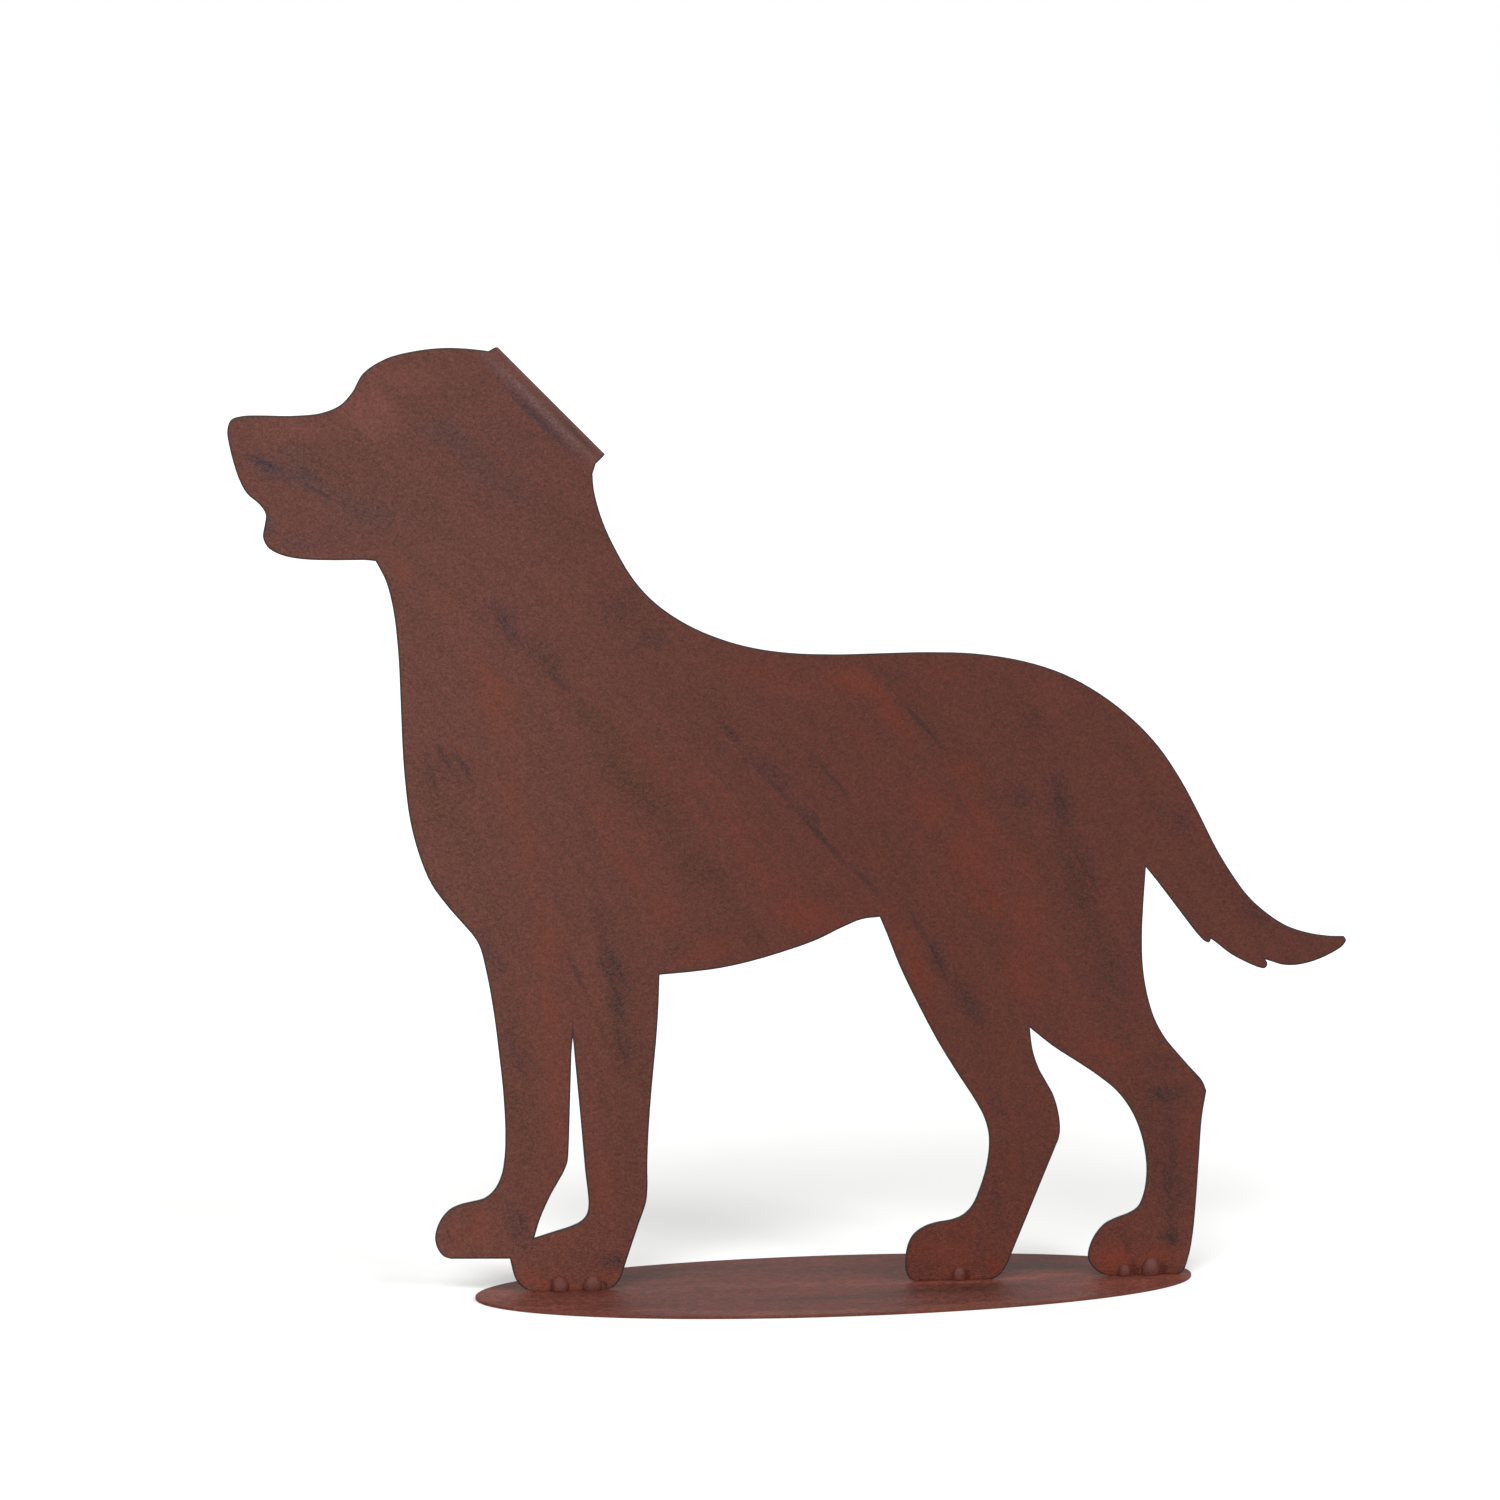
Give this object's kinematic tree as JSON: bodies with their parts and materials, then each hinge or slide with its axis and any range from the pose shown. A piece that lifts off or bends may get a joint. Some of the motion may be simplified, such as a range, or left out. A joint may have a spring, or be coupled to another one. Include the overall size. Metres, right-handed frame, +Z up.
{
  "type": "sheet metal dog figure",
  "caption": "Standing dog silhouette cut from thin steel sheet, an ear folded back, welded upright on an oval plate, with a brown rust patina.",
  "frame": {"origin": "on the surface it stands on, under the middle of the figure's bounding box", "axes": "+X from nose to tail along the sheet, +Y away from the side with the weld beads, towards the folded ear, +Z up"},
  "size_m": [0.5506, 0.1208, 0.4658],
  "materials": {
    "dog_rust": "matt red-brown rust patina with darker brushed streaks and a fine leathery grain",
    "plate_rust": "matt grey-brown rust patina, redder towards the edge",
    "weld_rust": "satin rusted weld metal with orange rust round it"
  },
  "bodies": {
    "root": {"dog_sheet": "dog_rust", "base_plate": "plate_rust", "weld_front_paw_toe": "weld_rust", "weld_front_paw_heel": "weld_rust", "weld_hind_paw": "weld_rust", "weld_rear_paw_toe": "weld_rust", "weld_rear_paw_heel": "weld_rust"}
  },
  "joints": []
}
